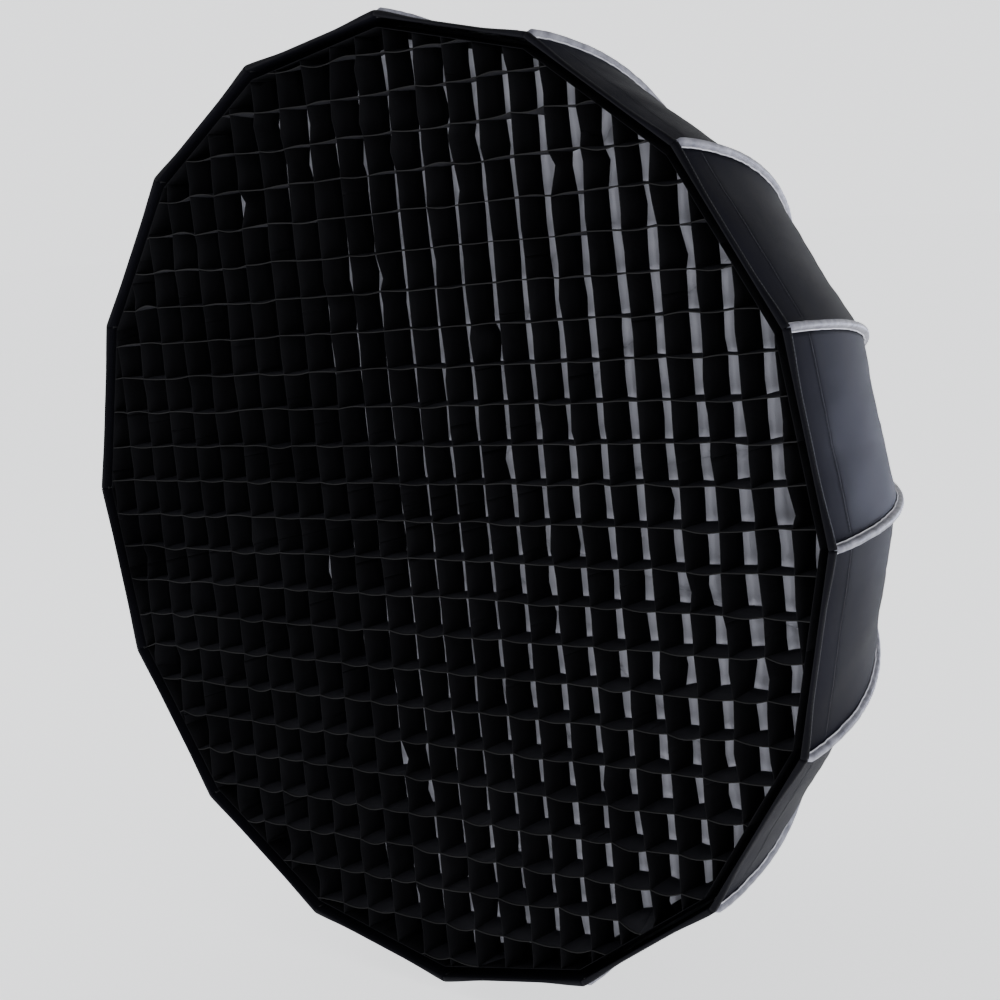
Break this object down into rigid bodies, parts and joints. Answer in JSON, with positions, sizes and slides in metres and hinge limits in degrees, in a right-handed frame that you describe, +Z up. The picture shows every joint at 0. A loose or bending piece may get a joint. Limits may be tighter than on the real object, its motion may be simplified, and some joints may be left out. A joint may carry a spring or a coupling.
{
  "type": "octabox",
  "caption": "Deep folding softbox with ribbed bowl shell, two diffusers, fabric egg-crate grid and a rotating bayonet lamp adapter.",
  "frame": {"origin": "centre of the adapter's rear seating plane, where it meets the lamp", "axes": "+Y along the optical axis, back towards the lamp, so the open front faces -Y; +Z up through the first rib"},
  "size_m": [1.053, 0.5655, 1.053],
  "materials": {
    "adapter_metal": "machined, satin",
    "hub_metal": "black anodised",
    "spring_steel": "drawn wire, bright",
    "hub_plastic": "fine moulded texture",
    "button_plastic": "smooth",
    "rod": "glass-fibre rod with a moulded foot",
    "shell_nylon": "black coated nylon, fine plain weave",
    "tab_webbing": "hook-and-loop tab",
    "diffuser_cloth": "white translucent diffusion cloth",
    "grid_cloth": "black nylon strips, stiffened"
  },
  "bodies": {
    "adapter": {"adapter_ring": "adapter_metal", "retaining_ring": "adapter_metal"},
    "hub": {"hub_ring": "hub_metal", "hinge_wire": "spring_steel", "hub_cover": "hub_plastic", "front_diffuser": "diffuser_cloth", "inner_diffuser": "diffuser_cloth", "grid": "grid_cloth"},
    "lock_ring": {"lock_ring": "spring_steel"},
    "release_button_left": {"release_button_left": "button_plastic"},
    "release_button_right": {"release_button_right": "button_plastic"},
    "clamp_screw": {"clamp_screw": "hub_plastic"},
    "rib_01": {"rib_01": "rod"},
    "gore_01": {"gore_01": "shell_nylon"},
    "corner_tab_01": {"corner_tab_01": "tab_webbing"},
    "rib_02": {"rib_02": "rod"},
    "gore_02": {"gore_02": "shell_nylon"},
    "corner_tab_02": {"corner_tab_02": "tab_webbing"},
    "rib_03": {"rib_03": "rod"},
    "gore_03": {"gore_03": "shell_nylon"},
    "corner_tab_03": {"corner_tab_03": "tab_webbing"},
    "rib_04": {"rib_04": "rod"},
    "gore_04": {"gore_04": "shell_nylon"},
    "corner_tab_04": {"corner_tab_04": "tab_webbing"},
    "rib_05": {"rib_05": "rod"},
    "gore_05": {"gore_05": "shell_nylon"},
    "corner_tab_05": {"corner_tab_05": "tab_webbing"},
    "rib_06": {"rib_06": "rod"},
    "gore_06": {"gore_06": "shell_nylon"},
    "corner_tab_06": {"corner_tab_06": "tab_webbing"},
    "rib_07": {"rib_07": "rod"},
    "gore_07": {"gore_07": "shell_nylon"},
    "corner_tab_07": {"corner_tab_07": "tab_webbing"},
    "rib_08": {"rib_08": "rod"},
    "gore_08": {"gore_08": "shell_nylon"},
    "corner_tab_08": {"corner_tab_08": "tab_webbing"},
    "rib_09": {"rib_09": "rod"},
    "gore_09": {"gore_09": "shell_nylon"},
    "corner_tab_09": {"corner_tab_09": "tab_webbing"},
    "rib_10": {"rib_10": "rod"},
    "gore_10": {"gore_10": "shell_nylon"},
    "corner_tab_10": {"corner_tab_10": "tab_webbing"},
    "rib_11": {"rib_11": "rod"},
    "gore_11": {"gore_11": "shell_nylon"},
    "corner_tab_11": {"corner_tab_11": "tab_webbing"},
    "rib_12": {"rib_12": "rod"},
    "gore_12": {"gore_12": "shell_nylon"},
    "corner_tab_12": {"corner_tab_12": "tab_webbing"},
    "rib_13": {"rib_13": "rod"},
    "gore_13": {"gore_13": "shell_nylon"},
    "corner_tab_13": {"corner_tab_13": "tab_webbing"},
    "rib_14": {"rib_14": "rod"},
    "gore_14": {"gore_14": "shell_nylon"},
    "corner_tab_14": {"corner_tab_14": "tab_webbing"},
    "rib_15": {"rib_15": "rod"},
    "gore_15": {"gore_15": "shell_nylon"},
    "corner_tab_15": {"corner_tab_15": "tab_webbing"},
    "rib_16": {"rib_16": "rod"},
    "gore_16": {"gore_16": "shell_nylon"},
    "corner_tab_16": {"corner_tab_16": "tab_webbing"}
  },
  "joints": [
    {"name": "box_spin", "type": "hinge", "parent": "adapter", "child": "hub", "pos_m": [0, 0, 0], "axis": [0, 1, 0], "continuous": true},
    {"name": "release_button_left_press", "type": "slide", "parent": "hub", "child": "release_button_left", "axis": [0.9808, 0, 0.1951], "range_m": [0, 0.003], "stiffness_N_per_m": 400, "springref_m": -0.001},
    {"name": "release_button_right_press", "type": "slide", "parent": "hub", "child": "release_button_right", "axis": [-0.9808, 0, -0.1951], "range_m": [0, 0.003], "stiffness_N_per_m": 400, "springref_m": -0.001},
    {"name": "clamp_screw_turn", "type": "hinge", "parent": "hub", "child": "clamp_screw", "pos_m": [-0.01951, -0.009, -0.09808], "axis": [-0.1951, 0, -0.9808], "range_deg": [0, 300]},
    {"name": "rib_01_fold", "type": "hinge", "parent": "hub", "child": "rib_01", "pos_m": [0, -0.038, 0.089], "axis": [1, 0, 0], "range_deg": [0, 41], "deforming": ["gore_01", "gore_02", "gore_03", "gore_04", "gore_05", "gore_06", "gore_07", "gore_08", "gore_09", "gore_10", "gore_11", "gore_12", "gore_13", "gore_14", "gore_15", "gore_16", "corner_tab_01", "corner_tab_02", "corner_tab_03", "corner_tab_04", "corner_tab_05", "corner_tab_06", "corner_tab_07", "corner_tab_08", "corner_tab_09", "corner_tab_10", "corner_tab_11", "corner_tab_12", "corner_tab_13", "corner_tab_14", "corner_tab_15", "corner_tab_16", "front_diffuser", "inner_diffuser", "grid"]},
    {"name": "gore_01_follow", "type": "hinge", "parent": "rib_01", "child": "gore_01", "pos_m": [0.04004, 0.00398, 0.20127], "axis": [-0.1832, -0.3443, -0.9208], "range_deg": [0, 16.17]},
    {"name": "corner_tab_01_turn", "type": "hinge", "parent": "rib_01", "child": "corner_tab_01", "pos_m": [0, -0.5045, 0.512], "axis": [1, 0, 0], "range_deg": [0, 49.5]},
    {"name": "rib_02_fold", "type": "hinge", "parent": "hub", "child": "rib_02", "pos_m": [0.03406, -0.038, 0.08223], "axis": [0.9239, 0, -0.3827], "range_deg": [0, 41]},
    {"name": "gore_02_follow", "type": "hinge", "parent": "rib_02", "child": "gore_02", "pos_m": [0.11401, 0.00398, 0.17063], "axis": [-0.5216, -0.3443, -0.7806], "range_deg": [0, 16.17]},
    {"name": "corner_tab_02_turn", "type": "hinge", "parent": "rib_02", "child": "corner_tab_02", "pos_m": [0.19593, -0.5045, 0.47303], "axis": [0.9239, 0, -0.3827], "range_deg": [0, 49.5]},
    {"name": "rib_03_fold", "type": "hinge", "parent": "hub", "child": "rib_03", "pos_m": [0.06293, -0.038, 0.06293], "axis": [0.7071, 0, -0.7071], "range_deg": [0, 41]},
    {"name": "gore_03_follow", "type": "hinge", "parent": "rib_03", "child": "gore_03", "pos_m": [0.17063, 0.00398, 0.11401], "axis": [-0.7806, -0.3443, -0.5216], "range_deg": [0, 16.17]},
    {"name": "corner_tab_03_turn", "type": "hinge", "parent": "rib_03", "child": "corner_tab_03", "pos_m": [0.36204, -0.5045, 0.36204], "axis": [0.7071, 0, -0.7071], "range_deg": [0, 49.5]},
    {"name": "rib_04_fold", "type": "hinge", "parent": "hub", "child": "rib_04", "pos_m": [0.08223, -0.038, 0.03406], "axis": [0.3827, 0, -0.9239], "range_deg": [0, 41]},
    {"name": "gore_04_follow", "type": "hinge", "parent": "rib_04", "child": "gore_04", "pos_m": [0.20127, 0.00398, 0.04004], "axis": [-0.9208, -0.3443, -0.1832], "range_deg": [0, 16.17]},
    {"name": "corner_tab_04_turn", "type": "hinge", "parent": "rib_04", "child": "corner_tab_04", "pos_m": [0.47303, -0.5045, 0.19593], "axis": [0.3827, 0, -0.9239], "range_deg": [0, 49.5]},
    {"name": "rib_05_fold", "type": "hinge", "parent": "hub", "child": "rib_05", "pos_m": [0.089, -0.038, 0], "axis": [0, 0, -1], "range_deg": [0, 41]},
    {"name": "gore_05_follow", "type": "hinge", "parent": "rib_05", "child": "gore_05", "pos_m": [0.20127, 0.00398, -0.04004], "axis": [-0.9208, -0.3443, 0.1832], "range_deg": [0, 16.17]},
    {"name": "corner_tab_05_turn", "type": "hinge", "parent": "rib_05", "child": "corner_tab_05", "pos_m": [0.512, -0.5045, 0], "axis": [0, 0, -1], "range_deg": [0, 49.5]},
    {"name": "rib_06_fold", "type": "hinge", "parent": "hub", "child": "rib_06", "pos_m": [0.08223, -0.038, -0.03406], "axis": [-0.3827, 0, -0.9239], "range_deg": [0, 41]},
    {"name": "gore_06_follow", "type": "hinge", "parent": "rib_06", "child": "gore_06", "pos_m": [0.17063, 0.00398, -0.11401], "axis": [-0.7806, -0.3443, 0.5216], "range_deg": [0, 16.17]},
    {"name": "corner_tab_06_turn", "type": "hinge", "parent": "rib_06", "child": "corner_tab_06", "pos_m": [0.47303, -0.5045, -0.19593], "axis": [-0.3827, 0, -0.9239], "range_deg": [0, 49.5]},
    {"name": "rib_07_fold", "type": "hinge", "parent": "hub", "child": "rib_07", "pos_m": [0.06293, -0.038, -0.06293], "axis": [-0.7071, 0, -0.7071], "range_deg": [0, 41]},
    {"name": "gore_07_follow", "type": "hinge", "parent": "rib_07", "child": "gore_07", "pos_m": [0.11401, 0.00398, -0.17063], "axis": [-0.5216, -0.3443, 0.7806], "range_deg": [0, 16.17]},
    {"name": "corner_tab_07_turn", "type": "hinge", "parent": "rib_07", "child": "corner_tab_07", "pos_m": [0.36204, -0.5045, -0.36204], "axis": [-0.7071, 0, -0.7071], "range_deg": [0, 49.5]},
    {"name": "rib_08_fold", "type": "hinge", "parent": "hub", "child": "rib_08", "pos_m": [0.03406, -0.038, -0.08223], "axis": [-0.9239, 0, -0.3827], "range_deg": [0, 41]},
    {"name": "gore_08_follow", "type": "hinge", "parent": "rib_08", "child": "gore_08", "pos_m": [0.04004, 0.00398, -0.20127], "axis": [-0.1832, -0.3443, 0.9208], "range_deg": [0, 16.17]},
    {"name": "corner_tab_08_turn", "type": "hinge", "parent": "rib_08", "child": "corner_tab_08", "pos_m": [0.19593, -0.5045, -0.47303], "axis": [-0.9239, 0, -0.3827], "range_deg": [0, 49.5]},
    {"name": "rib_09_fold", "type": "hinge", "parent": "hub", "child": "rib_09", "pos_m": [0, -0.038, -0.089], "axis": [-1, 0, 0], "range_deg": [0, 41]},
    {"name": "gore_09_follow", "type": "hinge", "parent": "rib_09", "child": "gore_09", "pos_m": [-0.04004, 0.00398, -0.20127], "axis": [0.1832, -0.3443, 0.9208], "range_deg": [0, 16.17]},
    {"name": "corner_tab_09_turn", "type": "hinge", "parent": "rib_09", "child": "corner_tab_09", "pos_m": [0, -0.5045, -0.512], "axis": [-1, 0, 0], "range_deg": [0, 49.5]},
    {"name": "rib_10_fold", "type": "hinge", "parent": "hub", "child": "rib_10", "pos_m": [-0.03406, -0.038, -0.08223], "axis": [-0.9239, 0, 0.3827], "range_deg": [0, 41]},
    {"name": "gore_10_follow", "type": "hinge", "parent": "rib_10", "child": "gore_10", "pos_m": [-0.11401, 0.00398, -0.17063], "axis": [0.5216, -0.3443, 0.7806], "range_deg": [0, 16.17]},
    {"name": "corner_tab_10_turn", "type": "hinge", "parent": "rib_10", "child": "corner_tab_10", "pos_m": [-0.19593, -0.5045, -0.47303], "axis": [-0.9239, 0, 0.3827], "range_deg": [0, 49.5]},
    {"name": "rib_11_fold", "type": "hinge", "parent": "hub", "child": "rib_11", "pos_m": [-0.06293, -0.038, -0.06293], "axis": [-0.7071, 0, 0.7071], "range_deg": [0, 41]},
    {"name": "gore_11_follow", "type": "hinge", "parent": "rib_11", "child": "gore_11", "pos_m": [-0.17063, 0.00398, -0.11401], "axis": [0.7806, -0.3443, 0.5216], "range_deg": [0, 16.17]},
    {"name": "corner_tab_11_turn", "type": "hinge", "parent": "rib_11", "child": "corner_tab_11", "pos_m": [-0.36204, -0.5045, -0.36204], "axis": [-0.7071, 0, 0.7071], "range_deg": [0, 49.5]},
    {"name": "rib_12_fold", "type": "hinge", "parent": "hub", "child": "rib_12", "pos_m": [-0.08223, -0.038, -0.03406], "axis": [-0.3827, 0, 0.9239], "range_deg": [0, 41]},
    {"name": "gore_12_follow", "type": "hinge", "parent": "rib_12", "child": "gore_12", "pos_m": [-0.20127, 0.00398, -0.04004], "axis": [0.9208, -0.3443, 0.1832], "range_deg": [0, 16.17]},
    {"name": "corner_tab_12_turn", "type": "hinge", "parent": "rib_12", "child": "corner_tab_12", "pos_m": [-0.47303, -0.5045, -0.19593], "axis": [-0.3827, 0, 0.9239], "range_deg": [0, 49.5]},
    {"name": "rib_13_fold", "type": "hinge", "parent": "hub", "child": "rib_13", "pos_m": [-0.089, -0.038, 0], "axis": [0, 0, 1], "range_deg": [0, 41]},
    {"name": "gore_13_follow", "type": "hinge", "parent": "rib_13", "child": "gore_13", "pos_m": [-0.20127, 0.00398, 0.04004], "axis": [0.9208, -0.3443, -0.1832], "range_deg": [0, 16.17]},
    {"name": "corner_tab_13_turn", "type": "hinge", "parent": "rib_13", "child": "corner_tab_13", "pos_m": [-0.512, -0.5045, 0], "axis": [0, 0, 1], "range_deg": [0, 49.5]},
    {"name": "rib_14_fold", "type": "hinge", "parent": "hub", "child": "rib_14", "pos_m": [-0.08223, -0.038, 0.03406], "axis": [0.3827, 0, 0.9239], "range_deg": [0, 41]},
    {"name": "gore_14_follow", "type": "hinge", "parent": "rib_14", "child": "gore_14", "pos_m": [-0.17063, 0.00398, 0.11401], "axis": [0.7806, -0.3443, -0.5216], "range_deg": [0, 16.17]},
    {"name": "corner_tab_14_turn", "type": "hinge", "parent": "rib_14", "child": "corner_tab_14", "pos_m": [-0.47303, -0.5045, 0.19593], "axis": [0.3827, 0, 0.9239], "range_deg": [0, 49.5]},
    {"name": "rib_15_fold", "type": "hinge", "parent": "hub", "child": "rib_15", "pos_m": [-0.06293, -0.038, 0.06293], "axis": [0.7071, 0, 0.7071], "range_deg": [0, 41]},
    {"name": "gore_15_follow", "type": "hinge", "parent": "rib_15", "child": "gore_15", "pos_m": [-0.11401, 0.00398, 0.17063], "axis": [0.5216, -0.3443, -0.7806], "range_deg": [0, 16.17]},
    {"name": "corner_tab_15_turn", "type": "hinge", "parent": "rib_15", "child": "corner_tab_15", "pos_m": [-0.36204, -0.5045, 0.36204], "axis": [0.7071, 0, 0.7071], "range_deg": [0, 49.5]},
    {"name": "rib_16_fold", "type": "hinge", "parent": "hub", "child": "rib_16", "pos_m": [-0.03406, -0.038, 0.08223], "axis": [0.9239, 0, 0.3827], "range_deg": [0, 41]},
    {"name": "gore_16_follow", "type": "hinge", "parent": "rib_16", "child": "gore_16", "pos_m": [-0.04004, 0.00398, 0.20127], "axis": [0.1832, -0.3443, -0.9208], "range_deg": [0, 16.17]},
    {"name": "corner_tab_16_turn", "type": "hinge", "parent": "rib_16", "child": "corner_tab_16", "pos_m": [-0.19593, -0.5045, 0.47303], "axis": [0.9239, 0, 0.3827], "range_deg": [0, 49.5]},
    {"name": "lock_ring_slide", "type": "slide", "parent": "hub", "child": "lock_ring", "axis": [0, 1, 0], "range_m": [0, 0.0071]}
  ],
  "couplings": [
    {"joint": "gore_01_follow", "follows": "rib_01_fold", "ratio": 0.38221},
    {"joint": "corner_tab_01_turn", "follows": "rib_01_fold", "ratio": 1.1951},
    {"joint": "rib_02_fold", "follows": "rib_01_fold", "ratio": 1},
    {"joint": "gore_02_follow", "follows": "rib_01_fold", "ratio": 0.38221},
    {"joint": "corner_tab_02_turn", "follows": "rib_01_fold", "ratio": 1.1951},
    {"joint": "rib_03_fold", "follows": "rib_01_fold", "ratio": 1},
    {"joint": "gore_03_follow", "follows": "rib_01_fold", "ratio": 0.38221},
    {"joint": "corner_tab_03_turn", "follows": "rib_01_fold", "ratio": 1.1951},
    {"joint": "rib_04_fold", "follows": "rib_01_fold", "ratio": 1},
    {"joint": "gore_04_follow", "follows": "rib_01_fold", "ratio": 0.38221},
    {"joint": "corner_tab_04_turn", "follows": "rib_01_fold", "ratio": 1.1951},
    {"joint": "rib_05_fold", "follows": "rib_01_fold", "ratio": 1},
    {"joint": "gore_05_follow", "follows": "rib_01_fold", "ratio": 0.38221},
    {"joint": "corner_tab_05_turn", "follows": "rib_01_fold", "ratio": 1.1951},
    {"joint": "rib_06_fold", "follows": "rib_01_fold", "ratio": 1},
    {"joint": "gore_06_follow", "follows": "rib_01_fold", "ratio": 0.38221},
    {"joint": "corner_tab_06_turn", "follows": "rib_01_fold", "ratio": 1.1951},
    {"joint": "rib_07_fold", "follows": "rib_01_fold", "ratio": 1},
    {"joint": "gore_07_follow", "follows": "rib_01_fold", "ratio": 0.38221},
    {"joint": "corner_tab_07_turn", "follows": "rib_01_fold", "ratio": 1.1951},
    {"joint": "rib_08_fold", "follows": "rib_01_fold", "ratio": 1},
    {"joint": "gore_08_follow", "follows": "rib_01_fold", "ratio": 0.38221},
    {"joint": "corner_tab_08_turn", "follows": "rib_01_fold", "ratio": 1.1951},
    {"joint": "rib_09_fold", "follows": "rib_01_fold", "ratio": 1},
    {"joint": "gore_09_follow", "follows": "rib_01_fold", "ratio": 0.38221},
    {"joint": "corner_tab_09_turn", "follows": "rib_01_fold", "ratio": 1.1951},
    {"joint": "rib_10_fold", "follows": "rib_01_fold", "ratio": 1},
    {"joint": "gore_10_follow", "follows": "rib_01_fold", "ratio": 0.38221},
    {"joint": "corner_tab_10_turn", "follows": "rib_01_fold", "ratio": 1.1951},
    {"joint": "rib_11_fold", "follows": "rib_01_fold", "ratio": 1},
    {"joint": "gore_11_follow", "follows": "rib_01_fold", "ratio": 0.38221},
    {"joint": "corner_tab_11_turn", "follows": "rib_01_fold", "ratio": 1.1951},
    {"joint": "rib_12_fold", "follows": "rib_01_fold", "ratio": 1},
    {"joint": "gore_12_follow", "follows": "rib_01_fold", "ratio": 0.38221},
    {"joint": "corner_tab_12_turn", "follows": "rib_01_fold", "ratio": 1.1951},
    {"joint": "rib_13_fold", "follows": "rib_01_fold", "ratio": 1},
    {"joint": "gore_13_follow", "follows": "rib_01_fold", "ratio": 0.38221},
    {"joint": "corner_tab_13_turn", "follows": "rib_01_fold", "ratio": 1.1951},
    {"joint": "rib_14_fold", "follows": "rib_01_fold", "ratio": 1},
    {"joint": "gore_14_follow", "follows": "rib_01_fold", "ratio": 0.38221},
    {"joint": "corner_tab_14_turn", "follows": "rib_01_fold", "ratio": 1.1951},
    {"joint": "rib_15_fold", "follows": "rib_01_fold", "ratio": 1},
    {"joint": "gore_15_follow", "follows": "rib_01_fold", "ratio": 0.38221},
    {"joint": "corner_tab_15_turn", "follows": "rib_01_fold", "ratio": 1.1951},
    {"joint": "rib_16_fold", "follows": "rib_01_fold", "ratio": 1},
    {"joint": "gore_16_follow", "follows": "rib_01_fold", "ratio": 0.38221},
    {"joint": "corner_tab_16_turn", "follows": "rib_01_fold", "ratio": 1.1951},
    {"joint": "lock_ring_slide", "follows": "rib_01_fold", "m_per_rad": 0.009782}
  ]
}
